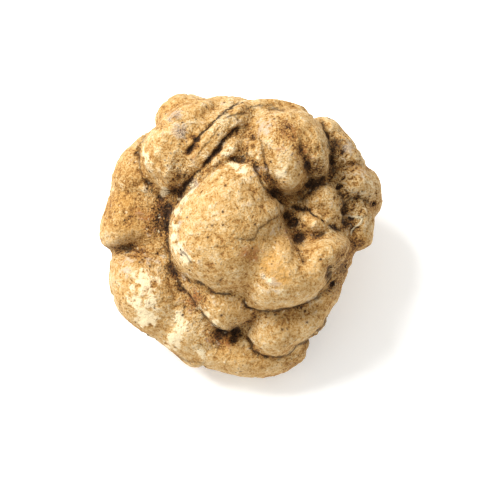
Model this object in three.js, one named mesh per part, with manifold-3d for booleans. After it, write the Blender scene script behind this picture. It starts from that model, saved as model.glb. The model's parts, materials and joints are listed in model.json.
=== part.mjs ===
// A white truffle: one solid, knobbly lump of fungus. It grows as lobes and folds that press against each
// other, and it rests on a small flat spot. All lengths are in millimetres and all angles in degrees.
import * as THREE from "three";
import { mergeVertices } from "three/addons/utils/BufferGeometryUtils.js";
import { ImprovedNoise } from "three/addons/math/ImprovedNoise.js";
import Module from "manifold-3d";

const wasm = await Module();
wasm.setup();

// Driving dimensions.
const truffleWidth = 60; // along X, at the widest
const crownLean = 22; // how far the crown leans towards the front once the lump is stood on its flat spot
const restDepth = 1.6; // how much of the lowest lobe the flat spot takes away
const facet = 2.1; // about the length of one facet's side
const usualFullness = 0.8; // 1 is an ellipsoid, and less is fuller than one
const slivers = 0.03; // edges shorter than this, left by the joins, are taken out
const swell = { share: 0.06, wavelength: 9 }; // how unevenly each lobe has grown, as a share of its radius
const skinColour = 0xd2a86e;

// The lump is laid out round its crown: x to the right, y to the back and z up, out of the crown.
// A lobe has an outline round its middle, at a level, and it rises above that level and sinks below it.
const lobes = [
  {
    name: "crown",
    outline: [
      [9.3, 5], [7.5, 7.8], [5, 9.8], [3.5, 13.2], [0.5, 15.3], [-3, 15.2], [-7, 12.5], [-11.5, 8.8],
      [-14, 4.5], [-15, 0], [-14.3, -4.5], [-11.5, -8.6], [-7, -11.2], [-2, -12.2], [3, -10], [6.5, -4],
    ],
    middle: [-3.5, 1.5], level: 6, rise: 14, sink: 10,
  },
  {
    name: "bridge",
    outline: [[9, 0], [6.5, 4], [1, 3], [-3, -2], [-3, -8], [1, -11.5], [7, -11], [10, -6]],
    middle: [3, -4], level: 5, rise: 11.6, sink: 8,
  },
  {
    name: "chin",
    outline: [
      [11.6, -1.5], [9.5, 2], [5, 2], [0, -2], [-0.5, -8], [0.5, -13], [3, -15.5], [8, -15.6], [12.5, -14.3],
      [16.3, -12], [18, -8.5], [15.8, -5],
    ],
    middle: [8, -7.5], level: 4.5, rise: 12.3, sink: 8,
  },
  {
    name: "cheek",
    outline: [
      [22.6, -1.2], [18.5, 1.3], [15, 0.3], [12.5, -0.8], [10, -5], [9, -11], [12.5, -14.3], [15, -13.4],
      [17.4, -10.5], [19.2, -7.4], [21.8, -4.2],
    ],
    middle: [15.5, -5.5], level: 3, rise: 13, sink: 8,
  },
  {
    name: "knob",
    outline: [
      [13.3, 11], [14.8, 15], [15.8, 20], [15.4, 24], [12, 25.6], [7, 25.8], [2.8, 24.3], [1.2, 21.8],
      [2.6, 18.6], [3.7, 15.5], [4.5, 12], [6.5, 9.3], [8.8, 7.7], [11.2, 8],
    ],
    middle: [9, 16], level: 5, rise: 12, sink: 9,
  },
  {
    name: "ear",
    outline: [
      [18.2, 15], [18, 18.5], [16.8, 22], [14, 24.8], [10.5, 21], [10.5, 16], [13, 12.2], [15.3, 11],
      [17.8, 12],
    ],
    middle: [14.3, 17], level: 4, rise: 11.3, sink: 8,
  },
  {
    name: "brow",
    outline: [
      [-12.9, 9.5], [-12.7, 12.8], [-11, 16], [-9.2, 17.5], [-7.8, 20], [-6, 22.3], [-3.8, 25],
      [-4.6, 27.6], [-7, 28.4], [-10, 27.8], [-14, 25.8], [-18.5, 21.7], [-20.5, 18.5], [-20.8, 14.8],
      [-18.8, 11.6], [-16.3, 8.8], [-14.5, 7.3],
    ],
    middle: [-14, 18.3], level: 2, rise: 10.8, sink: 8,
  },
  {
    name: "saddle",
    outline: [
      [5, 15], [4, 19.5], [1, 22], [-2.2, 20.7], [-5, 17.3], [-7.5, 14.2], [-12.6, 10], [-11, 6.5],
      [-5, 8], [2, 10],
    ],
    middle: [-2.5, 14], level: 4, rise: 8.8, sink: 8,
  },
  {
    name: "crest",
    outline: [
      [2, 28], [0, 28.7], [-2, 29.1], [-4.5, 29.2], [-7.5, 28.4], [-9, 25], [-6, 21], [0, 20], [4, 23],
      [4.5, 26.5],
    ],
    middle: [-2.5, 24.5], level: -1.5, rise: 7.8, sink: 8,
  },
  {
    name: "back_left",
    outline: [
      [-6, 27.5], [-8, 29], [-10, 29.7], [-12.5, 30.1], [-15, 29], [-17, 27], [-18.2, 24.8], [-17, 21],
      [-12, 20], [-8, 23],
    ],
    middle: [-12.5, 25.3], level: -5, rise: 9, sink: 7,
  },
  {
    name: "shoulder",
    outline: [
      [-14, 14], [-15, 19], [-19.5, 22.5], [-22, 20.5], [-25, 17.3], [-27, 13.3], [-27.7, 9], [-25, 5],
      [-19, 4], [-14, 8],
    ],
    middle: [-20.5, 12.5], level: -5, rise: 9.6, sink: 8,
  },
  {
    name: "elbow",
    outline: [
      [-11, 4], [-14, 9.5], [-20, 13.5], [-26.2, 12], [-28.5, 6.5], [-29.7, 2.5], [-29.9, -0.5],
      [-28.9, -2.5], [-27, -3.5], [-23, -2.4], [-18, -3], [-13, -3],
    ],
    middle: [-21.5, 3], level: -5, rise: 9.2, sink: 8,
  },
  {
    name: "haunch",
    outline: [
      [-9.5, -10], [-12.5, -5.5], [-17, -2.7], [-23, -2.2], [-27, -3.6], [-28, -7.5], [-27.6, -11.5],
      [-26.2, -15.3], [-24.5, -17.5], [-21.5, -20], [-17.5, -22], [-11.5, -20.5], [-9, -15],
    ],
    middle: [-20, -11], level: -5, rise: 11.2, sink: 9, fullness: 1,
  },
  {
    name: "apron",
    outline: [
      [-4, -19], [-7, -14], [-11, -10.5], [-15, -11], [-18.5, -15], [-18.8, -20.5], [-16.8, -23.2],
      [-12, -26], [-6, -27], [-1, -24],
    ],
    middle: [-11, -18], level: -6, rise: 9.8, sink: 8, fullness: 0.9,
  },
  {
    name: "front",
    outline: [
      [14.7, -22], [14.2, -25], [12.5, -27.3], [10, -29], [6.5, -30], [2, -30.1], [-3, -29.4],
      [-7, -28.3], [-10, -28.4], [-13, -26.5], [-15.5, -24.3], [-13, -20], [-6, -18], [0, -18],
      [8, -18],
    ],
    middle: [0, -24], level: -7, rise: 8.6, sink: 6,
  },
  {
    name: "lip_left",
    outline: [
      [0.5, -18.3], [-1, -19.7], [-3, -20.4], [-5.5, -19.6], [-8, -17.3], [-10.5, -14], [-12, -11],
      [-10, -8], [-4, -8], [2, -10], [4.5, -13], [3.5, -16.5],
    ],
    middle: [-4, -14], level: 1, rise: 9, sink: 8,
  },
  {
    name: "lip_right",
    outline: [
      [11.5, -23], [10, -25], [7, -25.7], [4, -24.8], [1.8, -23], [0.3, -20.4], [1.5, -17], [5, -13.5],
      [11, -14], [13.5, -18],
    ],
    middle: [6.8, -19.5], level: -2, rise: 9, sink: 8,
  },
  {
    name: "jaw",
    outline: [
      [19, -15], [17.5, -18.5], [15, -21.2], [12, -22.9], [8, -21.5], [7, -17], [10, -13], [15, -11.5],
      [19, -12],
    ],
    middle: [13, -17], level: -2, rise: 9, sink: 8,
  },
  {
    name: "flank",
    outline: [
      [21.4, -7.5], [20.8, -11], [19, -15], [16, -17], [13.5, -14], [15, -9], [17.5, -5], [20.5, -2.5],
      [22.9, -3.5],
    ],
    middle: [18, -9.5], level: -3, rise: 10.5, sink: 8,
  },
  {
    name: "plate",
    outline: [
      [20.8, 8.5], [19, 10.5], [15.5, 11.5], [12, 9], [9.5, 6.2], [14, 5.4], [17.5, 3.4], [20.8, 1.2],
      [21.6, 4.5],
    ],
    middle: [16.6, 6.8], level: 1, rise: 10, sink: 8,
  },
  {
    name: "wedge",
    outline: [[20.5, 0.9], [17.8, 2.9], [14.3, 5], [11.8, 5.4], [10.8, 3.3], [12.2, 0.4], [14.2, -1], [17, 0]],
    middle: [14.8, 2.2], level: 2, rise: 10.5, sink: 6,
  },
  {
    name: "right_ridge",
    outline: [
      [28.2, 9], [27, 12], [24.5, 14.2], [21, 14], [17.5, 13.5], [17, 10.5], [20, 7.6], [23, 6.6],
      [26, 6.6], [28, 7.8],
    ],
    middle: [22.8, 10.4], level: -2, rise: 9.5, sink: 8,
  },
  {
    name: "right_bump",
    outline: [
      [28.1, 2], [27.8, 4.8], [26.6, 7.3], [24, 8], [20.5, 7], [19.5, 2], [21, -1.5], [25, -1.5],
      [27.7, 0],
    ],
    middle: [24, 3.3], level: -4, rise: 9.6, sink: 8,
  },
  {
    name: "right_toe",
    outline: [[27.8, 0.3], [25.5, 2.5], [22.5, 1.5], [21.5, -1.7], [23, -3.3], [25.3, -3.1], [27.2, -2.2]],
    middle: [24.5, -0.7], level: -4, rise: 8, sink: 6,
  },
  {
    name: "right_back",
    outline: [
      [30.2, 8], [29.9, 11], [28.8, 13.2], [26.5, 14.4], [23, 13], [22.5, 7], [25, 3.5], [28.3, 3.4],
      [29.7, 5.3],
    ],
    middle: [26.5, 9], level: -9, rise: 9, sink: 6,
  },
  {
    name: "nape",
    outline: [[22, 21.3], [20.3, 23.6], [18.3, 24.7], [16, 24.8], [12, 22.5], [13, 19], [19, 17.5]],
    middle: [17.5, 21.5], level: -4, rise: 7.5, sink: 8,
  },
  {
    name: "nape_side",
    outline: [
      [26.2, 14.5], [25, 16.8], [24, 19.2], [21.8, 21.6], [17, 21], [15, 17], [17, 13],
      [23, 12],
    ],
    middle: [20.8, 16.8], level: -4, rise: 9.5, sink: 8,
  },
];

// The heart that the lobes stand on, and the plainer lobes of the back and the underside, each an ellipsoid.
const knots = [
  { at: [0, 0, -6], size: [24, 23, 13] },
  { at: [-2, 15, -2], size: [16, 11, 11] },
  { at: [14, -3, -2], size: [9.5, 14, 10] },
  { at: [-14, 6, -12], size: [11, 12, 9] },
  { at: [10, 10, -12], size: [12, 11, 9] },
  { at: [-9, -12, -8.8], size: [11, 11, 9] },
  { at: [12, -9, -10.3], size: [9.5, 10, 9] },
  { at: [0, 20, -10], size: [12, 8, 8] },
  { at: [0.5, -1, -16.3], size: [13, 11, 9] },
];

// A fold is a round-ended roll along a curve: the points it passes through, each with its half-thickness.
const folds = [
  {
    name: "strap",
    through: [
      [-12, 12.2, 8.2, 2.1], [-9.9, 14.8, 9.9, 2.4], [-6.8, 18, 10.3, 2.8], [-3.8, 21.7, 9.2, 3.1],
      [-0.8, 24.2, 7, 3.2], [3, 25.5, 4.8, 2.8], [8, 26.1, 3.6, 2], [12.5, 25, 2.5, 1.6],
    ],
  },
];

const noise = new ImprovedNoise();

// Moves every vertex of a geometry.
function reshape(geometry, move) {
  const places = geometry.getAttribute("position");
  const point = new THREE.Vector3();
  for (let i = 0; i < places.count; i++) {
    point.fromBufferAttribute(places, i);
    const to = move(point);
    places.setXYZ(i, to.x, to.y, to.z);
  }
  return geometry;
}

// Joins the vertices that share a place, so that the surface is closed.
function closed(geometry) {
  const bare = new THREE.BufferGeometry();
  bare.setAttribute("position", geometry.getAttribute("position").clone());
  if (geometry.index) bare.setIndex(geometry.index.clone());
  return mergeVertices(bare, 1e-4);
}

// A ball of radius 1 whose facets are about one facet long once it has this radius.
function ball(radius) {
  const detail = THREE.MathUtils.clamp(Math.round((1.1 * radius) / facet) - 1, 2, 7);
  return closed(new THREE.IcosahedronGeometry(1, detail));
}

// How far an outline is from its middle, in a direction: a smooth closed curve through its points.
function outlineReach(outline, middle) {
  const curve = new THREE.CatmullRomCurve3(outline.map(([x, y]) => new THREE.Vector3(x, y, 0)), true);
  const steps = 12 * outline.length;
  const rim = curve.getPoints(steps).map(({ x, y }) => ({
    angle: Math.atan2(y - middle[1], x - middle[0]),
    reach: Math.hypot(x - middle[0], y - middle[1]),
  }));
  rim.sort((a, b) => a.angle - b.angle);
  return (angle) => {
    const next = rim.findIndex((spot) => spot.angle > angle);
    const after = rim[next < 0 ? 0 : next];
    const before = rim.at(next < 0 ? -1 : next - 1);
    const turn = 2 * Math.PI;
    const span = (after.angle - before.angle + turn) % turn || turn;
    const share = ((angle - before.angle + turn) % turn) / span;
    return THREE.MathUtils.lerp(before.reach, after.reach, share);
  };
}

// Lets a lobe swell unevenly about its middle.
function swollen(point, middle) {
  const { x, y, z } = point.clone().divideScalar(swell.wavelength);
  return point.sub(middle).multiplyScalar(1 + 2 * swell.share * noise.noise(x, y, z)).add(middle);
}

function lobeGeometry({ outline, middle, level, rise, sink, fullness = usualFullness }) {
  const reach = outlineReach(outline, middle);
  const radius = outline.reduce((sum, [x, y]) => sum + Math.hypot(x - middle[0], y - middle[1]), 0);
  return reshape(ball(radius / outline.length), ({ x, y, z }) => {
    const angle = Math.atan2(y, x);
    const out = reach(angle) * Math.hypot(x, y) ** fullness;
    return new THREE.Vector3(
      middle[0] + out * Math.cos(angle),
      middle[1] + out * Math.sin(angle),
      level + z * (z > 0 ? rise : sink),
    );
  });
}

function knotGeometry({ at, size }) {
  const middle = new THREE.Vector3(...at);
  return reshape(ball((size[0] + size[1] + size[2]) / 3), (point) =>
    swollen(point.multiply(new THREE.Vector3(...size)).add(middle), middle),
  );
}

function foldGeometry({ through }) {
  const curve = new THREE.CatmullRomCurve3(through.map((p) => new THREE.Vector3(...p)));
  const thickest = Math.max(...through.map((p) => p[3]));
  const length = curve.getLength();
  const ring = Math.round((2 * Math.PI * thickest) / facet);
  const roll = closed(
    new THREE.CapsuleGeometry(thickest, length, 3, ring, Math.round(length / facet)),
  );
  const up = new THREE.Vector3(0, 0, 1);
  return reshape(roll, ({ x, y, z }) => {
    const along = THREE.MathUtils.clamp(y, -length / 2, length / 2);
    const share = along / length + 0.5;
    const place = curve.getUtoTmapping(share) * (through.length - 1);
    const before = Math.min(Math.floor(place), through.length - 2);
    const thick = THREE.MathUtils.lerp(through[before][3], through[before + 1][3], place - before);
    const ahead = curve.getTangentAt(share);
    const aside = new THREE.Vector3().crossVectors(ahead, up).normalize();
    const over = new THREE.Vector3().crossVectors(ahead, aside);
    return curve
      .getPointAt(share)
      .addScaledVector(ahead, ((y - along) * thick) / thickest)
      .addScaledVector(over, (x * thick) / thickest)
      .addScaledVector(aside, (z * thick) / thickest);
  });
}

function solidOf(geometry) {
  return new wasm.Manifold(
    new wasm.Mesh({
      numProp: 3,
      vertProperties: geometry.getAttribute("position").array,
      triVerts: new Uint32Array(geometry.index.array),
    }),
  );
}

function geometryOf(solid) {
  const mesh = solid.getMesh();
  const places = new Float32Array(mesh.numVert * 3);
  for (let i = 0; i < mesh.numVert; i++) {
    const first = i * mesh.numProp;
    places.set(mesh.vertProperties.subarray(first, first + 3), i * 3);
  }
  const geometry = new THREE.BufferGeometry();
  geometry.setAttribute("position", new THREE.BufferAttribute(places, 3));
  geometry.setIndex(new THREE.BufferAttribute(mesh.triVerts, 1));
  return geometry;
}

// The outermost surface, without the pockets that lobes can shut in between them.
function outerSkin(solid) {
  return solid.decompose().reduce((most, piece) => (piece.volume() > most.volume() ? piece : most));
}

function lumpGeometry() {
  const pieces = [...knots.map(knotGeometry), ...lobes.map(lobeGeometry), ...folds.map(foldGeometry)];
  const joined = pieces.map(solidOf).reduce((all, piece) => all.add(piece));
  return geometryOf(outerSkin(joined).simplify(slivers)).rotateX(THREE.MathUtils.degToRad(crownLean));
}

// Cuts the lowest lobe off level, and puts the origin under the middle of the lump, on the cut.
function rested(lump) {
  lump.computeBoundingBox();
  const { min, max } = lump.boundingBox;
  const floor = min.z + restDepth;
  const spare = 10;
  const ground = new THREE.BoxGeometry(4 * truffleWidth, 4 * truffleWidth, restDepth + spare);
  ground.translate(0, 0, floor - (restDepth + spare) / 2);
  const cut = geometryOf(solidOf(lump).subtract(solidOf(closed(ground))).simplify(slivers));
  const size = truffleWidth / (max.x - min.x);
  return cut
    .translate(-(min.x + max.x) / 2, -(min.y + max.y) / 2, -floor)
    .scale(size, size, size);
}

const skin = new THREE.MeshStandardMaterial({ color: skinColour, roughness: 0.85, metalness: 0 });
const truffle = new THREE.Mesh(rested(lumpGeometry()), skin);
truffle.name = "truffle";

const part = new THREE.Group();
part.add(truffle);
export default part;
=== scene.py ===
import math

import bmesh
import bpy
import numpy as np
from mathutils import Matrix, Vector
from mathutils.bvhtree import BVHTree
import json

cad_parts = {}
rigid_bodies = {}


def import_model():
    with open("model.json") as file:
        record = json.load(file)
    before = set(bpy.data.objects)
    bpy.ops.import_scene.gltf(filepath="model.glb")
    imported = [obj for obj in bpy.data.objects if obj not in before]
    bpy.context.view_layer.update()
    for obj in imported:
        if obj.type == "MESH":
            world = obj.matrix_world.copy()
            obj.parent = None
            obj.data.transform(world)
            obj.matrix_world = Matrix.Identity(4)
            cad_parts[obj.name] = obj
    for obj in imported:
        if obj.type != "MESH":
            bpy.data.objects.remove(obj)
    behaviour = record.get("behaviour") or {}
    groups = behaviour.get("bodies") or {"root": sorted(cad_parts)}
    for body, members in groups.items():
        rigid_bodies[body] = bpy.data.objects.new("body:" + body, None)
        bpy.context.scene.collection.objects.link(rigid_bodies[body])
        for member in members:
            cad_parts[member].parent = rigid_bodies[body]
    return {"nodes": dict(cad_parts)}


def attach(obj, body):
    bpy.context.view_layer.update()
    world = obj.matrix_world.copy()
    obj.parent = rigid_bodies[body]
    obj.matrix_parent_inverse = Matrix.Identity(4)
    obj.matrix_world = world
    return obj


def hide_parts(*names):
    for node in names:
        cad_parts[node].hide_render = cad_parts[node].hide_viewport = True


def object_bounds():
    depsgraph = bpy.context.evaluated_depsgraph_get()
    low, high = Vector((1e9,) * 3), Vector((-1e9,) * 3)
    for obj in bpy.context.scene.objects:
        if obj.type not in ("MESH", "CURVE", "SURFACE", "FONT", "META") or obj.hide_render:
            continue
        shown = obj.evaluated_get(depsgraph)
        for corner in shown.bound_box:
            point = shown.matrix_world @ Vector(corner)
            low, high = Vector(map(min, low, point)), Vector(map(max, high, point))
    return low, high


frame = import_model()
cadLow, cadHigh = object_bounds()
print("frame loaded")

mm = 0.001  # metres

# The crown is the middle of the face that the truffle turns up and forwards. Its own axes are
# u to the right, v up the face and w out of it, in millimetres.
crown = {
    "aside": -0.13,  # mm from the middle of the box
    "forward": 2.21,
    "below top": 22.63,
    "lean": 22.0,  # degrees that w leans towards the front
    "eye": 333.3,  # mm out along w, where the sculpting tools look from
}
crownAt = np.array([
    (cadLow[0] + cadHigh[0]) / 2 + crown["aside"] * mm,
    (cadLow[1] + cadHigh[1]) / 2 - crown["forward"] * mm,
    cadHigh[2] - crown["below top"] * mm,
])
leanTurn = math.radians(crown["lean"])
crownAxes = np.array([
    [1, 0, 0],
    [0, math.cos(leanTurn), math.sin(leanTurn)],
    [0, -math.sin(leanTurn), math.cos(leanTurn)],
])


def toCrown(points):  # metres in the part's frame to u, v, w in mm
    return (points - crownAt) @ crownAxes.T / mm


def seenFromEye(uvw):  # u and v as they line up from the eye
    return uvw[:, :2] * (crown["eye"] / (crown["eye"] - uvw[:, 2:3]))


class Wire:  # one output socket, usable in sums
    def __init__(self, tree, socket):
        self.tree = tree
        self.socket = socket

    def __add__(self, other):
        return self.tree.maths("ADD", self, other)

    def __sub__(self, other):
        return self.tree.maths("SUBTRACT", self, other)

    def __rsub__(self, other):
        return self.tree.maths("SUBTRACT", other, self)

    def __mul__(self, other):
        return self.tree.maths("MULTIPLY", self, other)

    def __truediv__(self, other):
        return self.tree.maths("DIVIDE", self, other)

    def __rtruediv__(self, other):
        return self.tree.maths("DIVIDE", other, self)

    __radd__ = __add__
    __rmul__ = __mul__

    def least(self, other):
        return self.tree.maths("MINIMUM", self, other)

    def most(self, other):
        return self.tree.maths("MAXIMUM", self, other)

    def size(self):
        return self.tree.maths("ABSOLUTE", self)

    def sign(self):
        return self.tree.maths("SIGN", self)

    def between(self, low, high, first=0.0, last=1.0):  # a smooth step
        return self.tree.add(
            "ShaderNodeMapRange", {"interpolation_type": "SMOOTHSTEP"},
            {0: self, 1: low, 2: high, 3: first, 4: last},
        )


class Tree:
    def __init__(self, nodeTree):
        self.nodes = nodeTree.nodes
        self.links = nodeTree.links

    def feed(self, socket, value):
        if isinstance(value, Wire):
            self.links.new(value.socket, socket)
        else:
            socket.default_value = value

    def add(self, kind, settings=None, values=None, out=0):
        made = self.nodes.new(kind)
        for name, value in (settings or {}).items():
            if name == "stops":  # of a colour ramp
                self.setStops(made.color_ramp, value)
            else:
                setattr(made, name, value)
        for name, value in (values or {}).items():
            self.feed(made.inputs[name], value)
        return Wire(self, made.outputs[out]) if made.outputs else made

    def setStops(self, ramp, stops):
        for spot, _ in stops[2:]:
            ramp.elements.new(spot)
        for element, (spot, colour) in zip(ramp.elements, stops):
            element.position = spot
            element.color = colour

    def maths(self, operation, *values):
        return self.add("ShaderNodeMath", {"operation": operation}, dict(enumerate(values)))

    def vector(self, operation, *values, out=0):
        return self.add("ShaderNodeVectorMath", {"operation": operation}, dict(enumerate(values)), out)

    def scaled(self, vector, by):
        return self.add("ShaderNodeVectorMath", {"operation": "SCALE"}, {0: vector, "Scale": by})

    def noise(self, place, size, detail=2.0, roughness=0.5, out=0):  # size is a wavelength
        return self.add(
            "ShaderNodeTexNoise", {"noise_dimensions": "3D"},
            {"Vector": place, "Scale": 1 / size, "Detail": detail, "Roughness": roughness}, out,
        )

    def cells(self, place, size, feature="F1", out="Distance"):  # size is about a cell's width
        return self.add(
            "ShaderNodeTexVoronoi", {"feature": feature}, {"Vector": place, "Scale": 1 / size}, out,
        )

    def stray(self, place, size, reach):  # the place, moved about smoothly
        offset = self.vector("SUBTRACT", self.noise(place, size, out="Color"), (0.5, 0.5, 0.5))
        return self.vector("ADD", place, self.scaled(offset, reach))

    def mixed(self, share, first, second, blend="MIX"):  # colours
        return self.add(
            "ShaderNodeMix", {"data_type": "RGBA", "blend_type": blend}, {0: share, 6: first, 7: second}, 2,
        )


def surfaceTree(name, inputs):  # a Geometry Nodes group with named number inputs
    group = bpy.data.node_groups.new(name, "GeometryNodeTree")
    group.interface.new_socket("Geometry", in_out="INPUT", socket_type="NodeSocketGeometry")
    for label, value in inputs.items():
        made = group.interface.new_socket(label, in_out="INPUT", socket_type="NodeSocketFloat")
        made.default_value = value
    group.interface.new_socket("Geometry", in_out="OUTPUT", socket_type="NodeSocketGeometry")
    tree = Tree(group)
    given = group.nodes.new("NodeGroupInput")
    wires = {socket.name: Wire(tree, socket) for socket in given.outputs if socket.name}
    return group, tree, wires


def shade(red, green, blue):  # a colour picked in sRGB, as linear light
    line = [c / 255 / 12.92 if c < 11 else ((c / 255 + 0.055) / 1.055) ** 2.4 for c in (red, green, blue)]
    return (*line, 1.0)


skin = {
    "cream": shade(203, 180, 140),
    "pale": shade(192, 160, 110),
    "tan": shade(180, 142, 86),
    "ochre": shade(154, 111, 53),
    "umber": shade(112, 72, 31),
    # packed soil, also the colour of painted shade
    "soil": shade(48, 29, 11),
    "rust": shade(143, 84, 34),
    "amber": shade(188, 139, 68),
    "grey": shade(178, 162, 144),
    # pale chalk, also the colour of painted highlights
    "chalk": shade(226, 207, 168),
    "tone": 0.65,  # where the plain skin stands between the darkest colour and the palest
    "cloud": 6.0,  # mm, as all these sizes of what varies over the skin
    "blotch": 2.2,
    "mottle": 1.1,
    "grit": 0.4,
    "crumb": 0.62,
    "flake": 2.5,
    "pore": 2.2,
    "tiny pore": 1.15,
    "bead": 1.6,
    "fleck": 0.5,
}


def makeSkin():
    material = bpy.data.materials.new("truffleSkin")
    material.use_nodes = True
    material.node_tree.nodes.clear()
    tree = Tree(material.node_tree)

    def attribute(name):
        return tree.add("ShaderNodeAttribute", {"attribute_name": name}, {}, "Fac")

    place = tree.scaled(tree.add("ShaderNodeTexCoord", {}, {}, "Object"), 1 / mm)
    bent = tree.stray(place, 3.0, 2.0)
    frayed = tree.stray(place, 0.7, 0.5)

    # what carving and reading left on the skin: each is 0 where there is none of it
    hollow, valley, proud = attribute("hollow"), attribute("valley"), attribute("proud")
    craggy, front, soilAndShadeMarks = attribute("craggy"), attribute("front"), attribute("soil")

    # what varies by itself: each goes a little way below and above 0
    cloud = tree.noise(bent, skin["cloud"], 3.0, 0.55) - 0.5
    blotch = tree.noise(bent, skin["blotch"], 3.0, 0.55) - 0.5
    mottle = tree.noise(frayed, skin["mottle"], 2.0, 0.55) - 0.5
    grit = tree.noise(place, skin["grit"], 2.0, 0.7) - 0.5
    crumb = tree.cells(frayed, skin["crumb"])
    crumbTone = tree.cells(frayed, skin["crumb"], out="Color") - 0.5
    flake = tree.cells(bent, skin["flake"], out="Color") - 0.5
    flakeEdge = 1 - tree.cells(bent, skin["flake"], "DISTANCE_TO_EDGE").between(0.0, 0.08)
    crumbly = craggy * 0.6 + hollow * 2.0 + valley * 0.7 + soilAndShadeMarks * 0.6 + cloud * 1.5 + 0.1
    crumbly = crumbly.most(0).least(1)

    # how light the skin is, from packed soil to dry cream, with painted shade in the hollows and valleys
    tone = skin["tone"] + cloud * 0.9 + blotch * 0.7 + mottle * 0.7 + grit * (1.2 + crumbly * 1.6)
    tone = tone + flake * 0.12 + flakeEdge * 0.03 + crumbTone * crumbly * 0.35
    # painted highlight, partly a pale film: points that stand proud of their surroundings are lighter
    tone = tone + proud.least(0.35).most(-0.35) * 0.55
    # painted shade: the skin is darker in the creases and in the valleys between the lobes, and where the
    # soil marks lie
    tone = tone - valley * 0.3 - hollow * 1.1 - craggy * 0.04 - soilAndShadeMarks * 0.16
    # the dun marks: a darker tan, and painted shade on the right and lower right sides
    tone = tone - (attribute("dun") + cloud + blotch).between(0.1, 1.1) * 0.3
    colour = tree.add("ShaderNodeValToRGB", {"stops": [
        (0.0, skin["soil"]), (0.2, skin["umber"]), (0.4, skin["ochre"]), (0.6, skin["tan"]),
        (0.78, skin["pale"]), (1.0, skin["cream"]),
    ]}, {"Fac": tone}, "Color")

    # stains and bare patches
    apart = tree.noise(place, 11.0, 1.0) - 0.5  # patches out of the face
    rust = (attribute("rust") + (blotch + mottle) * 1.6 + (1 - front) * apart * 2).between(0.3, 1.0)
    colour = tree.mixed(rust * 0.75, colour, skin["rust"])
    amber = (attribute("amber") + (cloud + mottle) * 1.3 - (1 - front) * apart * 2).between(0.25, 1.0)
    colour = tree.mixed(amber * 0.6, colour, skin["amber"])
    grey = (attribute("grey") + (blotch + mottle) * 1.6).between(0.3, 1.0)
    colour = tree.mixed(grey * 0.65, colour, skin["grey"])
    wide = (tree.noise(place, 8.0, 1.0) - 0.5).between(0.08, 0.2) * (1 - front)
    # pale bare patches, and painted highlights on the lit rims; the proud ridges add painted highlight too
    chalk = attribute("chalk").most(wide) + blotch * 1.9 + mottle * 0.8 + grit * 0.7 + proud * 0.3
    colour = tree.mixed(chalk.between(0.36, 0.86) * 0.85, colour, skin["chalk"])

    # soil packed in the creases and dusted over the hollows, partly painted shade in the same creases,
    # hollows and valleys, with more dark flecks in the hollows
    soil = hollow * 2.6 + valley * 0.3 + soilAndShadeMarks * 0.55
    soil = soil + mottle * 1.5 + grit * 2.2 + crumbTone * 0.5
    colour = tree.mixed(soil.between(0.45, 0.95) * 0.9, colour, skin["soil"])
    looseCrumb = (1 - crumb.between(0.1, 0.34)) * (crumbTone + grit * 0.8).between(-0.02, 0.16)
    colour = tree.mixed(looseCrumb * soil.between(0.3, 0.6) * 0.75, colour, skin["tan"])
    fleck = tree.noise(place, skin["fleck"]) + craggy * 0.04 + soilAndShadeMarks * 0.06 + hollow * 0.2
    colour = tree.mixed(fleck.between(0.66, 0.76) * 0.7, colour, skin["umber"])

    # pores, and pale beads between them
    pore = tree.cells(frayed, skin["pore"])
    poreDeep = (1 - pore.between(0.05, 0.15)) * cloud.between(-0.1, 0.0)
    poreHalo = (1 - pore.between(0.08, 0.28)) * cloud.between(-0.1, 0.0)
    tinyDeep = (1 - tree.cells(place, skin["tiny pore"]).between(0.08, 0.22)) * blotch.between(-0.03, 0.08)
    bead = (1 - tree.cells(bent, skin["bead"]).between(0.08, 0.24)) * blotch.between(-0.06, 0.06)
    colour = tree.mixed(bead * 0.55, colour, skin["chalk"])
    colour = tree.mixed(poreHalo * 0.4, colour, skin["umber"])
    colour = tree.mixed((poreDeep * 0.8).most(tinyDeep * 0.55), colour, skin["soil"])

    # fine dark lines of painted shade along the creases, broken here and there, and the pale hair
    strayLine = (tree.noise(place, 0.8, 3.0, 0.65) - 0.5) * 0.9
    lineOff = (attribute("lineSide") + strayLine).size()
    dark = (attribute("lineShare") * (blotch + mottle).between(-0.26, -0.04)).most(0)
    line = (1 - lineOff.between(0.08, 0.3)) * dark
    lineHalo = (1 - lineOff.between(0.1, 0.8)) * dark * (0.6 + mottle * 3)
    hair = (1 - lineOff.between(0.1, 0.24)) * (0 - attribute("lineShare")).most(0)
    colour = tree.mixed((lineHalo * 0.4).most(line * 0.95), colour, skin["soil"])
    colour = tree.mixed(hair, colour, skin["chalk"])

    # height in mm
    height = mottle * 0.36 + grit * (0.26 + crumbly * 0.4) + blotch * 0.5 - crumb * crumbly * 0.4
    height = height - poreDeep * 0.2 - tinyDeep * 0.1 - line * 0.35 + hair * 0.3
    height = height + bead * 0.05 + flakeEdge * 0.015
    bump = tree.add("ShaderNodeBump", {}, {"Strength": 1.0, "Distance": mm, "Height": height}, "Normal")
    rough = 0.88 - proud.between(0.05, 0.3) * 0.1 + grit * 0.3
    surface = tree.add("ShaderNodeBsdfPrincipled", {}, {
        "Base Color": colour, "Roughness": rough, "Normal": bump, "Specular IOR Level": 0.25,
    }, "BSDF")
    tree.add("ShaderNodeOutputMaterial", {}, {"Surface": surface})
    return material


skinMaterial = makeSkin()


def finishTree(group, tree, geometry):  # every tree ends alike
    real = tree.add("GeometryNodeRealizeInstances", {}, {"Geometry": geometry})
    covered = tree.add("GeometryNodeSetMaterial", {}, {"Geometry": real, "Material": skinMaterial})
    leave = group.nodes.new("NodeGroupOutput")
    tree.feed(leave.inputs["Geometry"], covered)


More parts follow.
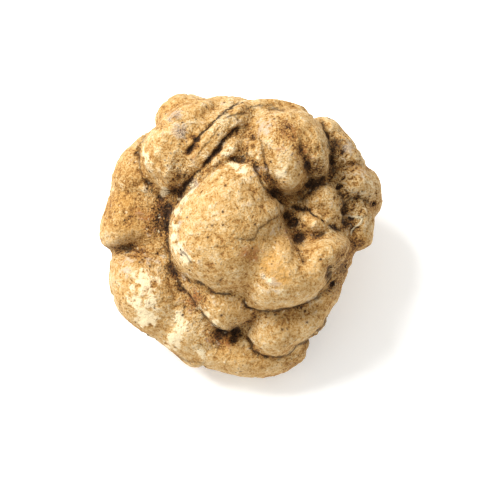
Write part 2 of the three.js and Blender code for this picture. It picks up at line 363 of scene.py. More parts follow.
def applyTree(piece, group, values):  # runs the tree once and keeps its result as a plain mesh
    modifier = piece.modifiers.new(group.name, "NODES")
    modifier.node_group = group
    for item in group.interface.items_tree:
        if item.in_out == "INPUT" and item.name in values:
            modifier[item.identifier] = values[item.name]
    return bake(piece)


def bake(piece):
    bpy.context.view_layer.update()
    seen = piece.evaluated_get(bpy.context.evaluated_depsgraph_get())
    made = bpy.data.meshes.new_from_object(seen)
    piece.modifiers.clear()
    piece.data = made
    return piece


def places(mesh):
    flat = np.empty(len(mesh.vertices) * 3)
    mesh.vertices.foreach_get("co", flat)
    return flat.reshape(-1, 3)


def normals(mesh):
    flat = np.empty(len(mesh.vertices) * 3, np.float32)
    mesh.vertex_normals.foreach_get("vector", flat)
    return flat.reshape(-1, 3).astype(float)


def moveTo(mesh, points):
    mesh.vertices.foreach_set("co", points.astype(np.float32).ravel())
    mesh.update()


def keep(mesh, name, values):  # a number for each vertex, for the trees and the material
    made = mesh.attributes.get(name) or mesh.attributes.new(name, "FLOAT", "POINT")
    made.data.foreach_set("value", values.astype(np.float32))


def smoothStep(value, low, high):
    share = np.clip((value - low) / (high - low), 0, 1)
    return share * share * (3 - 2 * share)


def neighbourMean(mesh, values, rounds):  # blurs along the surface
    ends = np.empty(len(mesh.edges) * 2, np.int32)
    mesh.edges.foreach_get("vertices", ends)
    a, b = ends[::2], ends[1::2]
    count = len(mesh.vertices)
    share = np.bincount(a, minlength=count) + np.bincount(b, minlength=count)
    values = values.copy()
    for _ in range(rounds):
        for k in range(values.shape[1]):
            near = np.bincount(a, values[b, k], count) + np.bincount(b, values[a, k], count)
            values[:, k] += 0.5 * (near / share - values[:, k])
    return values


body = {
    "grid": 0.396,  # mm between the vertices of the fine surface
    "soften": 14,  # rounds of blurring that melt the facets of the solid
    "crisp rounds": 42,
    "crisp": 0.55,  # how much of the softened edges comes back
    "fill": 0.8,  # how much of the hollows between the lobes closes up, twice over
    "fill rounds": 45,
}


def calmed(mesh, points, out, rounds):  # the blurred points, and how far each point lies under them
    calm = neighbourMean(mesh, points, rounds)
    return calm, np.maximum(np.sum((calm - points) * out, axis=1), 0)


def regrid(piece):  # an even surface, in which whatever overlaps is joined
    grid = piece.modifiers.new("grid", "REMESH")
    grid.mode = "VOXEL"
    grid.voxel_size = body["grid"] * mm
    grid.use_smooth_shade = True
    return bake(piece)


def fineBody():
    source = frame["nodes"]["truffle"]
    piece = bpy.data.objects.new("truffleSkin", source.data.copy())
    bpy.context.scene.collection.objects.link(piece)
    work = bmesh.new()
    work.from_mesh(piece.data)
    bmesh.ops.remove_doubles(work, verts=work.verts, dist=1e-6)
    work.to_mesh(piece.data)
    work.free()
    piece.data.materials.clear()
    regrid(piece)
    mesh = piece.data
    light = neighbourMean(mesh, places(mesh), body["soften"])
    heavy = neighbourMean(mesh, light, body["crisp rounds"])
    moveTo(mesh, light + body["crisp"] * (light - heavy))
    for _ in range(2):
        points = places(mesh)
        out = normals(mesh)
        _, sunk = calmed(mesh, points, out, body["fill rounds"])
        moveTo(mesh, points + body["fill"] * sunk[:, None] * out)
    return piece


truffle = fineBody()
print("fine body:", len(truffle.data.vertices), "vertices")


def roundBlobs(uv, blobs):  # 1 in the middle of a blob, 0 outside all of them
    most = np.zeros(len(uv))
    for u, v, radius, strength in blobs:
        off = np.hypot(uv[:, 0] - u, uv[:, 1] - v) / radius
        most = np.maximum(most, strength * (1 - smoothStep(off, 0.1, 1.15)))
    return most


def smoothLine(points, step=0.5):  # a Catmull-Rom line through the points
    points = [np.array(p, float) for p in points]
    ends = [2 * points[0] - points[1], *points, 2 * points[-1] - points[-2]]
    line = []
    for a, b, c, d in zip(ends, ends[1:], ends[2:], ends[3:]):
        pieces = max(1, round(np.linalg.norm(c - b) / step))
        for t in np.arange(pieces) / pieces:
            line.append(0.5 * (2 * b + (c - a) * t + (2 * a - 5 * b + 4 * c - d) * t**2
                               + (3 * b - a - 3 * c + d) * t**3))
    line.append(points[-1])
    return np.array(line)


def besideLine(uv, line):  # signed distance to the line, and the distance along it from its nearer end
    away = np.full(len(uv), 1e9)
    side = np.zeros(len(uv))
    along = np.zeros(len(uv))
    passed = 0.0
    for a, b in zip(line, line[1:]):
        step = b - a
        length = np.linalg.norm(step)
        share = np.clip((uv - a) @ step / length**2, 0, 1)
        off = uv - (a + share[:, None] * step)
        far = np.hypot(off[:, 0], off[:, 1])
        nearer = far < away
        away[nearer] = far[nearer]
        turn = step[0] * off[:, 1] - step[1] * off[:, 0]
        side[nearer] = np.where(turn < 0, -1, 1)[nearer]
        along[nearer] = (passed + share * length)[nearer]
        passed += length
    return side * away, np.minimum(along, passed - along)


# Creases that run across the face: their points (u, v), how wide and how deep they are in mm, how
# strongly a fine dark line of painted shade shows in them (below 0 it is a pale hair), and how far their
# left side is raised over their right.
creases = {
    "browFold": ([(0.3, 28), (-2, 26.8), (-4, 25.3), (-6.5, 23), (-7.5, 22), (-9, 20), (-10.5, 17.7),
                  (-11.6, 16)], 0.5, 0.5, 1.0, -0.35),
    "browSpill": ([(-11.6, 16), (-12.6, 14), (-13.4, 11.6), (-13.8, 9)], 0.8, 0.15, 0, 0),
    "strapFold": ([(0.8, 22.5), (-1.5, 21.5), (-4, 19.3), (-5.2, 17.3), (-6.5, 16), (-8, 13.8),
                   (-9.5, 12.8), (-11.5, 10.4), (-13.4, 8)], 0.45, 0.6, 0.9, -0.3),
    "strapWrinkle": ([(-4, 24), (-2, 25), (2, 25.5)], 0.4, 0.3, 0.7, 0.1),
    "strapWrinkle2": ([(-9.8, 15.6), (-7.6, 18), (-5.8, 20.6), (-3.6, 22.8)], 0.35, 0.2, 0.35, 0),
    "crestWrinkle": ([(5, 26), (7.5, 26.2), (10, 25.9)], 0.4, 0.3, 0.7, 0),
    "crestWrinkle2": ([(-0.5, 25.8), (3, 26.7), (8, 27.1)], 0.35, 0.2, 0.5, 0),
    "knobLeft": ([(3.2, 20.5), (4.5, 17.2), (5.1, 13.8), (6.2, 11.6), (8, 9.8)], 0.45, 0.45, 0.5, 0.2),
    "knobUnder": ([(7, 8), (8.4, 7), (10, 6.4)], 0.35, 0.4, 0.9, 0),
    "rightCrevice": ([(10, 6), (12, 5.5), (14, 5.3), (16, 4), (18, 2.5), (21, 0.5)], 0.32, 0.45, 1.0, 0.12),
    "wedgeUnder": ([(14, -0.6), (16.5, 0.2), (18.7, 0.9)], 0.3, 0.25, 0.8, 0),
    "pitTail": ([(11.3, -1.5), (12.5, -4), (13.6, -7)], 0.5, 0.3, 0.4, 0),
    "knobShade": ([(11.5, 6.8), (13, 7.8), (14.5, 9.5), (16, 10.8), (18, 12)], 0.5, 0.45, 0.7, 0),
    "knobSplit": ([(12.2, 21.8), (12.8, 18.6), (13.2, 16), (14, 13.2), (14.6, 10.8)], 0.7, 0.55, 0.4, 0.15),
    "crownLeft": ([(-14.6, 7.2), (-15.3, 4), (-15.6, 0), (-15.2, -4), (-13.8, -7.8), (-12.5, -10.5),
                   (-11, -13)], 0.5, 0.55, 0.8, 0),
    "crownTop": ([(2.6, 15.2), (0.5, 15.6), (-3, 15.3), (-6, 13.4), (-9, 11), (-12, 8.5), (-14.3, 6)],
                 0.6, 0.75, 0.3, 0.45),
    "crownKnob": ([(2.9, 16), (3.2, 13.8), (4.1, 11.3), (5.8, 9.2), (7.8, 7.4)], 0.35, 0.4, 0.7, 0),
    "crownRim": ([(-11.6, 8.2), (-12.7, 5.4), (-13.3, 1.8), (-13.3, -1.6), (-12.7, -4)],
                 0.4, 0.25, 0.3, -0.15),
    "crownUnder": ([(-12.2, -7.8), (-10.5, -9.6), (-8, -10.8), (-6.5, -11.8), (-4, -12.4), (-1, -12.2)],
                   0.4, 0.4, 0.9, 0),
    "crownFrown": ([(-1.7, -1), (0.6, -1.2), (2.6, -0.7), (4.2, 1.7), (6.9, 3.2), (9.2, 4.9)],
                   0.4, 0.25, 0.6, 0.15),
    "crownEye": ([(-13, -2.7), (-11.6, -4.2), (-10.5, -6), (-10.1, -7.6)], 0.35, 0.25, 0.6, 0),
    "crownNick": ([(-5.5, -10.3), (-4.2, -9.8), (-3.2, -8.5)], 0.3, 0.2, 0.8, 0),
    "lipGap": ([(-0.4, -18.6), (-0.8, -20), (-1.5, -21.5), (-2.6, -23)], 0.8, 0.9, 0.9, 0),
    "rightLip": ([(0.5, -20.5), (2, -23), (4, -24.8), (7, -25.6), (10, -25), (11.5, -23.3), (14, -22),
                  (17, -19), (18.5, -16)], 0.4, 0.45, 0.8, 0.2),
    "leftLip": ([(-11.6, -11.6), (-10, -14.2), (-7.5, -17.4), (-5, -19.5), (-2.5, -20.5), (-0.7, -19.6)],
                0.45, 0.6, 0.8, 0.3),
    "chinUnder": ([(0.4, -12.6), (1.2, -15), (3, -15.8), (5, -16), (8, -15.9), (13, -14.8), (17, -11.6),
                   (19.5, -6.5)], 0.42, 0.45, 0.8, 0.2),
    "flankSlit": ([(19.5, -5.5), (18.3, -8.5), (17.5, -10)], 0.45, 0.7, 0.9, 0),
    "flankSlit2": ([(20.4, -8.2), (19.4, -9.8), (18.2, -11.4)], 0.45, 0.7, 0.9, 0),
    "browRim": ([(-19.3, 21.8), (-20.9, 19.5), (-21.6, 15), (-19.8, 11.4), (-15.8, 6.6)],
                0.55, 0.7, 0.6, 0),
    "elbowUnder": ([(-29, -3), (-25, -3), (-21, -3.2), (-17.5, -4), (-15.3, -5.2)], 0.9, 0.4, 0.3, 0),
    "elbowOver": ([(-28, 9), (-24, 9.6), (-20, 8.8)], 1.0, 0.25, 0, 0),
    "earRight": ([(16.4, 25), (17.9, 21.5), (18.7, 18), (18.9, 15), (18.3, 13)], 0.45, 0.5, 0.7, 0),
    "ridgeOver": ([(18.6, 13.6), (21, 14.5), (24, 14.8), (26.4, 14.6)], 0.5, 0.2, 0.3, 0),
    "ridgeUnder": ([(21.5, 5), (22.4, 7), (24.4, 7.6), (27.3, 6.5)], 0.45, 0.3, 0.6, 0),
    "plateRight": ([(21.4, 0.8), (21.2, 3), (21.7, 6), (20.6, 9.6)], 0.5, 0.4, 0.7, 0),
    "rootHair": ([(22.3, 4), (23.6, 3.6), (25.3, 3.3), (24.4, 2), (23.3, 1), (22.7, -0.5)],
                 0.3, 0, -1.0, 0),
    "frontSeam": ([(-14.5, -24.5), (-12, -25.8), (-9.5, -26.5), (-7.4, -27.1)], 0.35, 0.3, 0.5, 0),
}

# Small pits in the face: u, v, radius and depth in mm.
pits = [
    (24.3, 7.5, 0.8, 0.9), (21.5, 5, 0.8, 1.0), (27.3, 6.5, 0.6, 0.7), (20.5, 10, 0.7, 0.9),
    (19.3, 19.5, 0.9, 0.9), (21, 17, 0.8, 0.9), (14, 16, 0.6, 0.5), (16, 13, 0.6, 0.6),
    (9.4, 4.1, 0.9, 0.9), (11, 2.8, 0.9, 1.1), (12, -0.7, 0.8, 0.7), (-1.3, -20.4, 0.9, 1.2),
    (-7.7, -27, 0.6, 0.6), (2.2, 20.4, 0.5, 0.6), (23.3, 1.2, 0.8, 0.8), (-7.6, 14.2, 0.5, 0.5),
    (2.4, 18.4, 0.6, 0.6),
]

# Places where the solid's lobes are melted together again: u, v, radius in mm and strength.
melts = [
    (2.8, 18.5, 2.6, 0.8), (3.6, 15, 2.8, 0.95), (4.6, 12, 2.8, 0.95), (6.6, 9, 2.8, 0.9), (9, 7, 2.6, 0.7),
    (11.6, 1.4, 3, 0.8), (12.4, -0.8, 2.4, 0.8), (13, 5.4, 2, 1), (15, 4.6, 2, 1), (16.8, 3.2, 2, 1),
    (18.6, 1.8, 2, 1), (20.4, 0.8, 2, 0.8), (14, 8, 2.4, 0.6), (16, 9, 2.4, 0.5), (13.6, 13.6, 2.4, 0.6),
    (-15.6, -9, 3, 0.5), (-12, -13, 3, 0.5), (2, -16, 3, 0.5), (8, -16, 3, 0.4), (14, -14.5, 3, 0.4),
    (24, 7, 4.5, 0.85), (25.5, 10, 4, 0.8), (22, 12.5, 4, 0.8), (23.5, 3, 3.5, 0.7), (19.5, 6, 3, 0.5),
    (-13.6, 10, 3, 0.9), (18.5, 13.5, 3, 0.6), (15, 1.5, 3, 0.5), (-10.2, 18, 2.4, 0.8),
    (-8, 20.5, 2.2, 0.6), (-5.5, 17, 2.2, 0.6), (-8.6, 13.8, 2.2, 0.7), (10.6, 4, 2.6, 0.9),
    (14.8, -20.4, 3, 0.8),
]

# Broad rolls laid over the face: their points, half width and height in mm, and how far they are
# melted into what lies under them.
rolls = {
    "strap": ([(3, 25.4), (-1, 24), (-4.3, 21.4), (-7, 18.4), (-9.4, 15.2), (-12, 11.6)], 3.1, 0.7, 1.0),
    "flank": ([(2.2, 20.6), (3.3, 17.4), (4.2, 14.4), (5.2, 11.6), (7.6, 8.4)], 1.6, 2.2, 1.0),
    "corner": ([(-1, 14.4), (1.4, 13.8), (2.6, 12.2), (3.8, 9.8), (5.6, 7.6)], 1.6, 1.6, 1.0),
    "browGap": ([(-11.4, 16.4), (-10, 18.4), (-8.2, 20.8)], 1.4, 0.9, 1.0),
    "spill": ([(-11, 19.5), (-12.8, 15.5), (-13.8, 11), (-14.2, 8)], 3.2, 0.7, 1.0),
    "saddle": ([(-7.6, 13.4), (-4.8, 16), (-1.4, 18.5), (1.4, 19.6)], 2.0, 1.2, 0.8),
    "gap": ([(11.6, 6.4), (15, 5.2), (18, 3), (20.6, 1.2)], 1.5, 1.3, 1.0),
    "tip": ([(8.4, 12.8), (9.6, 10.4), (10.6, 8.3)], 2.2, 0.9, 0),
    "wedge": ([(12.8, 3.3), (15, 2.2), (18, 0.8)], 1.8, 0.8, 0.6),
    "step": ([(11.5, 7.6), (13.2, 9.2), (15.4, 11)], 1.6, 0.9, 0.6),
    "jowl": ([(17.2, -15.5), (15, -18.8), (13, -21.8)], 2.2, 0.7, 0.9),
    "ridge": ([(21.5, 19), (24, 15.8), (26.2, 12.4), (26.8, 9)], 1.8, 0.35, 0.5),
}

# Round marks on the face: u, v, radius in mm and strength. The dun marks are a darker tan, and on the right
# and lower right sides painted shade; "craggy" is rough.
marks = {
    "craggy": [
        (16, 14.5, 3.6, 1), (24, 3.5, 6, 1), (22, 10, 6, 1), (27, 8, 4, 0.7), (20.5, 17, 6, 0.9),
        (16, 17, 4, 0.8), (17, 8, 4, 0.45), (10.8, 2.5, 2.4, 0.8), (19.5, -6, 4, 0.6),
        (20, -11, 4, 0.4), (8, 23, 5, 0.45), (-10, 21, 6, 0.4), (-3, 23, 5, 0.35), (-1, 18.5, 5, 0.35),
        (-23, 5, 5, 0.3), (-26, 9, 4, 0.3), (-13, 12, 5, 0.6), (-9, -14, 4, 0.5), (-6, -22, 4, 0.45),
        (-16.5, 3, 4, 0.5),
    ],
    # pale bare patches, and painted highlights on the lit rims of the crown, the left lip, the chin, the
    # knob and the wedge
    "chalk": [
        (-8.8, -15.2, 1.4, 0.8), (-7.2, -16.8, 1.4, 0.9), (-5.4, -18.2, 1.4, 0.8),
        (-20.5, -8.5, 3.2, 0.9), (-19.3, -11, 2.8, 1), (-22.6, -10.8, 1.8, 0.8), (-22.3, -14, 2.2, 1),
        (-18.8, -14.5, 2.2, 1), (-20, -17.2, 3.0, 1), (-18.6, -17.6, 2.4, 1), (-13, -17.6, 2.6, 1),
        (-12.9, -19.6, 2.2, 0.9), (-13.8, -21.8, 3, 1), (-15.4, -23.4, 2.2, 0.9),
        (-8.5, -24.6, 2.8, 0.55), (-16, 8.9, 1.7, 1), (-19.2, 16.5, 2.6, 0.65), (-18.6, 14, 2.2, 0.5),
        (-0.2, 13.8, 3.4, 0.6), (-3.5, 13, 2.4, 0.5), (8.4, 12.8, 2, 0.8), (14.5, 3.2, 1.7, 0.4),
        (-13.2, -2.6, 1.9, 0.9), (-11.6, -5, 2, 0.8), (-10.2, -6.4, 1.4, 0.6), (-13.4, 4.8, 1.7, 0.95),
        (-12.2, 7.4, 1.7, 0.9), (-10.2, 9.8, 1.7, 0.8), (-13.9, 1.8, 1.6, 0.9), (-14, -0.6, 1.5, 0.9),
        (-26, 9.5, 3, 0.3), (-26, 5.8, 2.4, 0.3), (18.6, 2.4, 1.4, 0.6), (26.8, 11, 2.4, 0.45),
        (-4.6, 20, 3, 0.5), (-7.6, 17, 2.4, 0.5), (-2.4, 17.6, 2.4, 0.5), (-6.6, 14.4, 2, 0.45),
        (-17.8, -9.6, 1.8, 0.8), (10, -11.8, 3, 0.35), (5.6, -9.6, 2, 0.6), (4.8, -11.4, 1.8, 0.5),
    ],
    "rust": [
        (2.2, -4, 3.4, 0.9), (-6, -20.8, 3.4, 0.55), (-3, -22, 2.8, 0.6), (-10, -13.5, 3.6, 0.7),
        (10.2, 21, 2.8, 0.75), (7.8, 17.8, 2.4, 0.5), (13, 16.4, 3, 0.5), (-19, 4, 5, 0.5),
        (0, -1, 2.4, 0.3), (10, 0, 3, 0.5), (-10.6, 16.5, 2.6, 0.5), (-6, 16.5, 1.6, 0.4),
    ],
    "amber": [
        (-0.5, -15.5, 3.6, 0.6), (6.5, -6, 4.4, 1), (8.5, -8.5, 4, 1), (4, -1.5, 3, 0.6),
        (9, -2.5, 3, 0.7), (5.2, -9, 2.4, 0.6), (-24.5, 6.5, 5, 0.6), (-23, 1, 5, 0.5),
        (-5, -14.5, 4, 0.5), (10, -19, 5, 0.4), (-2, -26, 7, 0.5), (5, -27, 6, 0.4),
        (-15, -10, 4, 0.35), (13, 13, 3, 0.4),
    ],
    "grey": [
        (-12.2, -3.6, 1.8, 0.9), (-12.9, 2.6, 1.8, 0.8), (-9.4, 10.4, 1.6, 0.9), (6, -10.4, 3.4, 0.8),
        (-14, 25, 2.4, 0.8), (-12.8, 21.2, 2.6, 0.7), (22.4, 18.2, 2.2, 0.9), (5.2, 22.2, 3.6, 0.7),
        (24.6, 12.8, 3, 0.6), (-24, -6.2, 5, 0.5), (-19, -5.6, 4, 0.45), (3.5, 13, 3, 0.5),
        (15, -14.5, 4, 0.4), (22.6, 2.6, 3, 0.3), (-11.8, -8.6, 2, 0.6),
    ],
    # a darker tan, and painted shade on the right and lower right sides
    "dun": [
        (23, -4.5, 5, 1.3), (21.5, -9.5, 4, 1), (17, -24.5, 5.5, 1.5), (12, -28.5, 5, 1.2),
        (-24.5, 5, 7, 1.1), (-16.5, 4, 5, 1.1), (-24.5, 12, 5, 0.8), (-22.5, 16.5, 4, 0.7),
        (-18.5, 2, 5, 0.8), (-21, -4.6, 4, 0.7), (-26, -5.6, 4, 0.6), (-16.5, 26.5, 3, 0.5),
        (-13, 20.5, 4, 0.4), (9.8, 21.4, 4.6, 1), (12.6, 18, 4, 0.9), (15, 14, 3.4, 0.7),
        (0.5, -3.5, 5, 0.6), (-4, -2, 3.4, 0.4), (3.8, 2.6, 3.4, 0.4), (19, -12, 4, 0.4),
        (18, -20, 4, 0.4), (12, -18, 4, 0.2), (-4, -15.5, 4, 0.4), (-8.5, -14.5, 4, 0.6),
        (-4, -22, 4, 0.6), (21, -5, 4, 0.6), (25, -2.6, 4, 1.2), (28, 6, 3, 0.7), (20, 18, 4, 0.6),
        (1.6, 0.6, 4, 0.6), (-14, 11, 4, 0.5), (-17, -20, 4, 0.4), (3, -28.5, 4, 0.5), (8, 3, 3, 0.3),
    ],
    # soil in the valleys and creases, partly painted shade, most of all on the right and lower right sides
    "soil": [
        (-13.5, 24.7, 1.7, 1), (-12.4, 21.6, 1.6, 0.9), (-14.6, 23.6, 1.4, 0.6), (16, 14, 2.6, 0.6),
        (-14, 16, 6, 0.3), (9.4, 22.4, 2, 0.5), (11.4, 18.4, 1.4, 0.5), (-15.8, 5.4, 3.2, 1),
        (-17, 1.8, 3.6, 0.85), (-15.6, -2.6, 2.2, 0.8), (-14, -7.6, 2.2, 0.9), (-12.6, -10.8, 1.8, 0.8),
        (-1.4, -19.6, 2.4, 0.9), (-4.6, -21.6, 3, 0.55), (-9.4, -13.2, 3, 0.6), (-12.6, 12.6, 2.6, 0.7),
        (-14.2, 9.6, 2.2, 0.7), (-12.4, 16.8, 1.6, 0.4), (1.6, 26, 2, 0.8), (20.4, 18.6, 2.6, 0.9),
        (15, 9.4, 2.2, 0.7), (10.6, 2.6, 1.7, 0.9), (12, -1.2, 1.8, 0.9), (20.6, -7, 2.4, 0.9),
        (19, -11.4, 2.4, 0.8), (16.4, -19.6, 1.8, 0.4), (15.6, -25, 3, 0.5), (11, -28.6, 3, 0.4),
        (22.4, 2.6, 2.2, 0.7), (10, 4.6, 1.8, 0.8), (13.4, -5, 1.6, 0.5), (19.2, 13.6, 2, 0.7),
        (21.4, 6.4, 1.8, 0.7), (2.3, 18.2, 1, 0.7), (14, 14.4, 2, 0.5), (-16.5, 22.8, 1.6, 0.5),
    ],
}


def markFace():
    mesh = truffle.data
    uvw = toCrown(places(mesh))
    facing = smoothStep(normals(mesh) @ crownAxes[2], -0.1, 0.35)
    uv = seenFromEye(uvw)
    for name, blobs in marks.items():
        keep(mesh, name, roundBlobs(uv, blobs) * facing)
    keep(mesh, "front", facing)


def openToEye(mesh, points, out):  # which points nothing stands in front of, seen from the eye
    clear = 0.3 * mm  # how far off the skin a ray starts
    solid = BVHTree.FromPolygons(points.tolist(), [tuple(face.vertices) for face in mesh.polygons])
    eye = Vector((crownAt + crown["eye"] * mm * crownAxes[2]).tolist())
    seen = np.zeros(len(points), bool)
    for i in np.nonzero(out @ crownAxes[2] > -0.15)[0]:
        at = Vector((points[i] + clear * out[i]).tolist())
        seen[i] = solid.ray_cast(at, (eye - at).normalized())[0] is None
    return seen


rolling = {
    "wander": 0.6,  # mm that a roll or a melted place strays
    "fade": 3.0,  # mm over which a roll runs out at its ends
    "rounds": 40,  # of blurring, three times over
    "ease": 0.5,  # how much of the blurring a melted place takes
    "fill": 0.8,  # how much of its hollows closes up
    "hidden": 0.8,  # how far the sides of the gaps that the eye can't see melt and rise with the rest
}
carving = {
    "wander": 0.3,  # mm that a crease strays from its line
    "uneven": 0.9,  # how much deeper a crease is here and there
    "fade": 1.6,  # mm over which a crease runs out at its ends
    "line reach": 1.0,  # mm from a crease where its fine line still counts
    "shoulder": 3.2,  # how much wider the soft shoulders of a crease are than its bottom
    "lip off": 1.2,  # mm from a crease to the top of its raised lip
    "lip width": 0.8,
}


def wander(points, size, seed):  # smooth random offsets, as u and v
    cell = points / size + seed
    base = np.floor(cell).astype(int)
    share = cell - base
    share = share * share * (3 - 2 * share)
    total = np.zeros((len(points), 2))
    for corner in range(8):
        step = np.array([corner & 1, corner >> 1 & 1, corner >> 2 & 1])
        at = base + step
        hashed = (at[:, 0] * 73856093 ^ at[:, 1] * 19349663 ^ at[:, 2] * 83492791) & 0xFFFFFF
        weight = np.prod(np.where(step == 1, share, 1 - share), axis=1)
        total[:, 0] += weight * ((hashed % 4093) / 4093 - 0.5)
        total[:, 1] += weight * ((hashed // 7 % 4093) / 4093 - 0.5)
    return 2 * total


def layRolls():  # melts the lobes together where the face is soft, and lays the broad rolls over it
    mesh = truffle.data
    points = places(mesh)
    out = normals(mesh)
    seen = openToEye(mesh, points, out).astype(float)
    uvw = toCrown(points)
    uv = seenFromEye(uvw) + rolling["wander"] * wander(uvw, 4.0, 5)
    melted = roundBlobs(uv, melts)
    raised = np.zeros(len(points))
    for line, half, height, melt in rolls.values():
        side, along = besideLine(uv, smoothLine(line, 1.0))
        off = np.abs(side) / half
        taper = smoothStep(along, 0, rolling["fade"])
        melted = np.maximum(melted, melt * (1 - smoothStep(off, 0.9, 1.7)) * smoothStep(along, -1, 0.5))
        raised = np.maximum(raised, height * (1 - smoothStep(off, 0.25, 1.3)) * taper)
    hidden = rolling["hidden"] * smoothStep(uvw[:, 2], 0, 4)
    reached = np.maximum(neighbourMean(mesh, seen[:, None], 6)[:, 0], hidden)
    melted *= reached
    for _ in range(3):
        calm, sunk = calmed(mesh, points, out, rolling["rounds"])
        move = rolling["ease"] * (calm - points) + rolling["fill"] * sunk[:, None] * out
        points = points + melted[:, None] * move
    moveTo(mesh, points + (raised * reached)[:, None] * mm * out)
    regrid(truffle)
    moveTo(truffle.data, neighbourMean(truffle.data, places(truffle.data), 2))


def carveFace():
    mesh = truffle.data
    points = places(mesh)
    out = normals(mesh)
    uvw = toCrown(points)
    seen = openToEye(mesh, points, out)
    uv = seenFromEye(uvw)
    strayed = uv + carving["wander"] * (wander(uvw, 2.2, 11) + 0.6 * wander(uvw, 0.9, 37))
    strength = 1 + carving["uneven"] * wander(uvw, 1.7, 53)[:, 0]
    deeper = np.zeros(len(points))
    lineSide = np.full(len(points), 9.0)
    lineShare = np.zeros(len(points))
    for way, width, depth, fineness, lip in creases.values():
        line = smoothLine(way)
        low, high = line.min(0) - 3.5, line.max(0) + 3.5  # mm, further than any crease reaches
        near = np.nonzero(seen & np.all((strayed > low) & (strayed < high), axis=1))[0]
        side, along = besideLine(strayed[near], line)
        off = np.abs(side) / width
        taper = smoothStep(along, 0, carving["fade"])
        groove = 0.7 * np.exp(-(off**2)) + 0.3 * np.exp(-((off / carving["shoulder"]) ** 2))
        lipOff = (side - math.copysign(carving["lip off"], lip)) / carving["lip width"]
        raised = abs(lip) * np.exp(-(lipOff**2)) * taper
        deeper[near] = np.maximum(deeper[near], depth * strength[near] * groove * taper) - raised
        reach = 1 - smoothStep(np.abs(side), 0.6 * carving["line reach"], carving["line reach"])
        closer = np.abs(side) < np.abs(lineSide[near])
        lineSide[near[closer]] = side[closer]
        lineShare[near[closer]] = (fineness * reach * taper)[closer]
    for u, v, radius, depth in pits:
        off = np.hypot(strayed[:, 0] - u, strayed[:, 1] - v) / radius
        deeper = np.where(seen, np.maximum(deeper, depth * np.exp(-(off**2))), deeper)
    inwards = 0.6 * out + 0.4 * crownAxes[2]  # the first part is along the skin's normal
    moveTo(mesh, points - deeper[:, None] * mm * inwards)
    keep(mesh, "lineSide", lineSide)
    keep(mesh, "lineShare", lineShare)


relief = {
    "Swell Height": 0.5, "Swell Size": 9.0,  # mm, as all of these
    "Lump Height": 0.4, "Lump Size": 3.4,
    "Grain Height": 0.26, "Grain Size": 1.15,
    "Crag Height": 1.0, "Crag Size": 2.6,
    "Hole Depth": 0.55, "Hole Size": 1.5,
    "Fold Depth": 0.55, "Fold Size": 9.5,
    "Seed": 4.0,
}


def reliefTree():
    group, tree, given = surfaceTree("skinRelief", relief)
    place = tree.scaled(tree.add("GeometryNodeInputPosition"), 1 / mm)
    place = tree.vector("ADD", place, tree.scaled(tree.vector("NORMALIZE", (1.0, 0.7, 0.4)), given["Seed"]))
    normal = tree.add("GeometryNodeInputNormal")
    craggy = tree.add("GeometryNodeInputNamedAttribute", {"data_type": "FLOAT"}, {"Name": "craggy"})
    front = tree.add("GeometryNodeInputNamedAttribute", {"data_type": "FLOAT"}, {"Name": "front"})

    bent = tree.stray(place, 4.0, 2.6)

    swell = tree.noise(place, given["Swell Size"], 1.0)
    lump = tree.noise(bent, given["Lump Size"], 3.0, 0.5)
    grain = tree.noise(bent, given["Grain Size"], 3.0, 0.6)
    crag = tree.noise(bent, given["Crag Size"], 3.0, 0.6)
    hole = tree.noise(bent, given["Hole Size"], 2.0, 0.5)
    fold = tree.cells(bent, given["Fold Size"], "DISTANCE_TO_EDGE")

    wild = tree.noise(place, 14.0, 1.0).between(0.52, 0.66) * (1 - front)  # craggy patches out of the face
    craggy = craggy.most(wild)
    ridge = 0.4 - (crag - 0.5).size() * 4
    height = (swell - 0.5) * given["Swell Height"]
    height = height + (lump - 0.5) * given["Lump Height"] * 2
    height = height + (grain - 0.5) * given["Grain Height"] * (1.4 + craggy * 1.6)
    height = height + ridge * craggy * given["Crag Height"] * 0.5
    height = height - (1 - hole.between(0.3, 0.44)) * (craggy * 0.9 + 0.1) * given["Hole Depth"]
    height = height - (1 - fold.between(0.0, 0.09)) * (1 - front) * given["Fold Depth"]
    moved = tree.add("GeometryNodeSetPosition", {}, {
        "Geometry": given["Geometry"],
        "Offset": tree.scaled(normal, height * mm),
    })
    kept = tree.add("GeometryNodeStoreNamedAttribute", {"data_type": "FLOAT", "domain": "POINT"},
                    {"Geometry": moved, "Name": "craggy", "Value": craggy})
    finishTree(group, tree, kept)
    return group


reading = {
    "Near Reach": 2.2,  # mm that a crease is wide where it counts as one
    "Far Reach": 13.0,  # mm, the same for a valley between lobes
    "Ridge Rounds": 9.0,  # of blurring that a ridge stands out from
}
readingRays = 30  # from each point


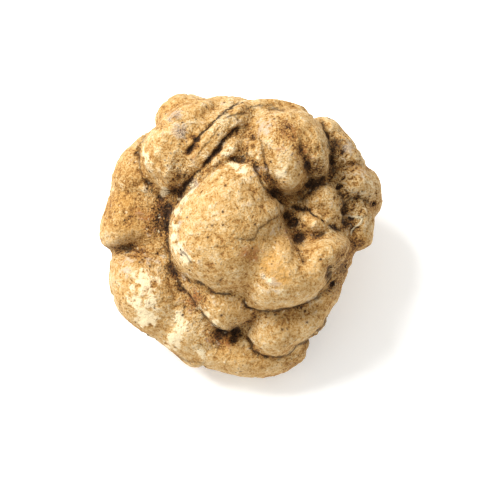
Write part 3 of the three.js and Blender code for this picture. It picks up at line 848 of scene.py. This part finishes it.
def readingTree():
    group, tree, given = surfaceTree("surfaceReading", reading)
    place = tree.add("GeometryNodeInputPosition")
    normal = tree.add("GeometryNodeInputNormal")
    start = tree.vector("ADD", place, tree.scaled(normal, 0.12 * mm))
    near, far, total = None, None, None
    for i in range(readingRays):  # directions spread evenly over a ball, each turned to the outside
        rise = 1 - (2 * i + 1) / readingRays
        turn = i * math.pi * (3 - math.sqrt(5))
        flat = math.sqrt(1 - rise**2)
        way = (flat * math.cos(turn), flat * math.sin(turn), rise)
        lean = tree.vector("DOT_PRODUCT", normal, way, out="Value")
        ray = tree.scaled(way, lean.sign())
        cast = tree.add("GeometryNodeRaycast", {}, {
            "Target Geometry": given["Geometry"], "Source Position": start,
            "Ray Direction": ray, "Ray Length": given["Far Reach"] * mm,
        }, "Is Hit")
        away = Wire(tree, cast.socket.node.outputs["Hit Distance"]) / mm
        weight = lean.size()
        shut = cast * weight
        nearHere = (1 - away / given["Near Reach"]).most(0) * shut
        farHere = (1 - away / given["Far Reach"]) * shut
        near = nearHere if near is None else near + nearHere
        far = farHere if far is None else far + farHere
        total = weight if total is None else total + weight
    blurred = tree.add("GeometryNodeBlurAttribute", {"data_type": "FLOAT_VECTOR"},
                       {"Value": place, "Iterations": given["Ridge Rounds"]})
    proud = tree.vector("DOT_PRODUCT", tree.vector("SUBTRACT", place, blurred), normal, out="Value") / mm
    result = given["Geometry"]
    # the material paints shade by hollow and valley, and a painted highlight by proud
    for name, value in {"hollow": near / total, "valley": far / total, "proud": proud}.items():
        result = tree.add("GeometryNodeStoreNamedAttribute", {"data_type": "FLOAT", "domain": "POINT"},
                          {"Geometry": result, "Name": name, "Value": value})
    finishTree(group, tree, result)
    return group


def settle():  # the flat spot stays on the floor's plane
    points = places(truffle.data)
    points[:, 2] = np.maximum(points[:, 2], 0)
    moveTo(truffle.data, points)


layRolls()
print("rolls laid:", len(truffle.data.vertices), "vertices")
markFace()
applyTree(truffle, reliefTree(), relief)
print("relief done")
carveFace()
settle()
print("face carved")
applyTree(truffle, readingTree(), reading)
print("surface read")

truffle.data.shade_smooth()
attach(truffle, "root")
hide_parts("truffle")
print("skin done")


studio = {
    "floor": shade(246, 246, 244),
    "floor radius": 3.0,
    "floor glow": 0.22,  # the paper is lit through from below a little
    "sky": 0.83,
    "key": 10.9,  # watts
    "key size": 0.44,
    "key from": (-0.42, 0.44, 0.5),  # in the crown's own axes, in metres
    "rise": 68.0,  # degrees that the camera looks down
    "lens": 120.0,
    "sensor": 36.0,
    "far": 0.3333,
    "aside": -0.2,  # mm from the crown's origin, in the crown's own axes
    "down": -1.04,
}


def makePaper():
    material = bpy.data.materials.new("floorPaper")
    material.use_nodes = True
    sockets = material.node_tree.nodes["Principled BSDF"].inputs
    sockets["Base Color"].default_value = studio["floor"]
    sockets["Roughness"].default_value = 0.9
    sockets["Emission Color"].default_value = studio["floor"]
    sockets["Emission Strength"].default_value = studio["floor glow"]
    return material


def buildStudio():
    scene = bpy.context.scene
    bpy.ops.mesh.primitive_circle_add(vertices=96, radius=studio["floor radius"], fill_type="NGON")
    floor = bpy.context.object
    floor.name = "floor"
    floor.data.materials.append(makePaper())

    world = bpy.data.worlds.new("studioAir")
    world.use_nodes = True
    scene.world = world
    air = world.node_tree.nodes["Background"].inputs
    air["Color"].default_value = (1, 1, 1, 1)
    air["Strength"].default_value = studio["sky"]

    lamp = bpy.data.lights.new("softBox", "AREA")
    lamp.shape = "DISK"
    lamp.size = studio["key size"]
    lamp.energy = studio["key"]
    held = bpy.data.objects.new("softBox", lamp)
    scene.collection.objects.link(held)
    out = np.array(studio["key from"]) @ crownAxes
    held.location = Vector((crownAt + out).tolist())
    held.rotation_euler = Vector((-out).tolist()).to_track_quat("-Z", "Y").to_euler()

    eye = bpy.data.cameras.new("camera")
    eye.lens = studio["lens"]
    eye.sensor_width = studio["sensor"]
    eye.clip_start = 0.01
    stand = bpy.data.objects.new("camera", eye)
    scene.collection.objects.link(stand)
    rise = math.radians(studio["rise"])
    aim = crownAt + (np.array([studio["aside"], studio["down"], 0]) * mm) @ crownAxes
    stand.location = Vector(aim.tolist()) + studio["far"] * Vector((0, -math.cos(rise), math.sin(rise)))
    stand.rotation_euler = (math.pi / 2 - rise, 0, 0)
    scene.camera = stand
    scene.view_settings.view_transform = "Standard"


buildStudio()
print("studio done")
